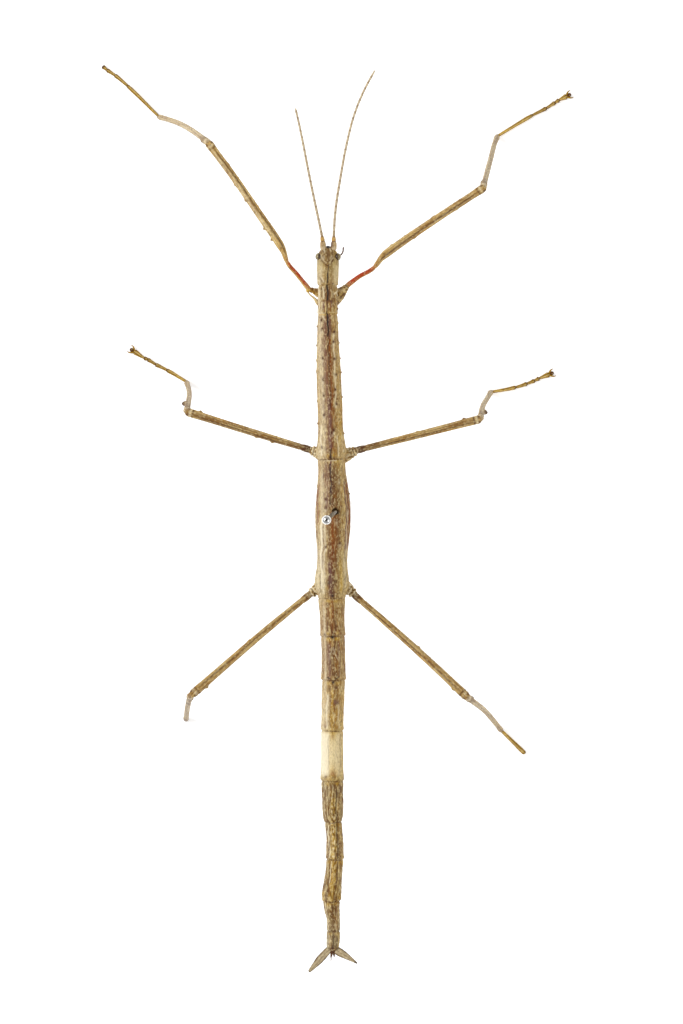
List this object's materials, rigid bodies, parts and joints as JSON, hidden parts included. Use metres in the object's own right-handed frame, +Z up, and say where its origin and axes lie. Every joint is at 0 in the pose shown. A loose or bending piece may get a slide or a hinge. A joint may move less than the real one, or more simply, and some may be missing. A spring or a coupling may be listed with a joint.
{
  "type": "stick insect",
  "caption": "Dried stick insect on a steel pin, life size: a long twig-like body, thin antennae, spread legs and leaf-shaped tail feelers.",
  "frame": {"origin": "centre of the bounding box in plan, at the level of the feet and the pin's lower end", "axes": "+Y along the body towards the head, +X to the right seen from above with the head away from you, +Z up"},
  "size_m": [0.0592, 0.1116, 0.033],
  "materials": {
    "body_cuticle": "satin",
    "leg_cuticle": "satin",
    "feeler_cuticle": "satin",
    "eye": "glossy",
    "pin_steel": "polished"
  },
  "bodies": {
    "root": {"abdomen_1": "body_cuticle", "abdomen_2": "body_cuticle", "abdomen_3": "body_cuticle", "abdomen_4": "body_cuticle", "abdomen_5": "body_cuticle", "abdomen_6": "body_cuticle", "abdomen_7": "body_cuticle", "abdomen_8": "body_cuticle", "abdomen_9": "body_cuticle", "antenna_left": "feeler_cuticle", "antenna_right": "feeler_cuticle", "cercus_left": "body_cuticle", "cercus_right": "body_cuticle", "eye_left": "eye", "eye_right": "eye", "front_left_coxa": "leg_cuticle", "front_left_femur": "leg_cuticle", "front_left_tarsus": "leg_cuticle", "front_left_tibia": "leg_cuticle", "front_right_coxa": "leg_cuticle", "front_right_femur": "leg_cuticle", "front_right_tarsus": "leg_cuticle", "front_right_tibia": "leg_cuticle", "head": "body_cuticle", "hind_left_coxa": "leg_cuticle", "hind_left_femur": "leg_cuticle", "hind_left_tibia": "leg_cuticle", "hind_right_coxa": "leg_cuticle", "hind_right_femur": "leg_cuticle", "hind_right_tarsus": "leg_cuticle", "hind_right_tibia": "leg_cuticle", "mesothorax": "body_cuticle", "metathorax": "body_cuticle", "middle_left_coxa": "leg_cuticle", "middle_left_femur": "leg_cuticle", "middle_left_tarsus": "leg_cuticle", "middle_left_tibia": "leg_cuticle", "middle_right_coxa": "leg_cuticle", "middle_right_femur": "leg_cuticle", "middle_right_tarsus": "leg_cuticle", "middle_right_tibia": "leg_cuticle", "mouthparts": "feeler_cuticle", "operculum": "body_cuticle", "palp_right": "feeler_cuticle", "pin": "pin_steel", "prothorax": "body_cuticle"}
  },
  "joints": []
}
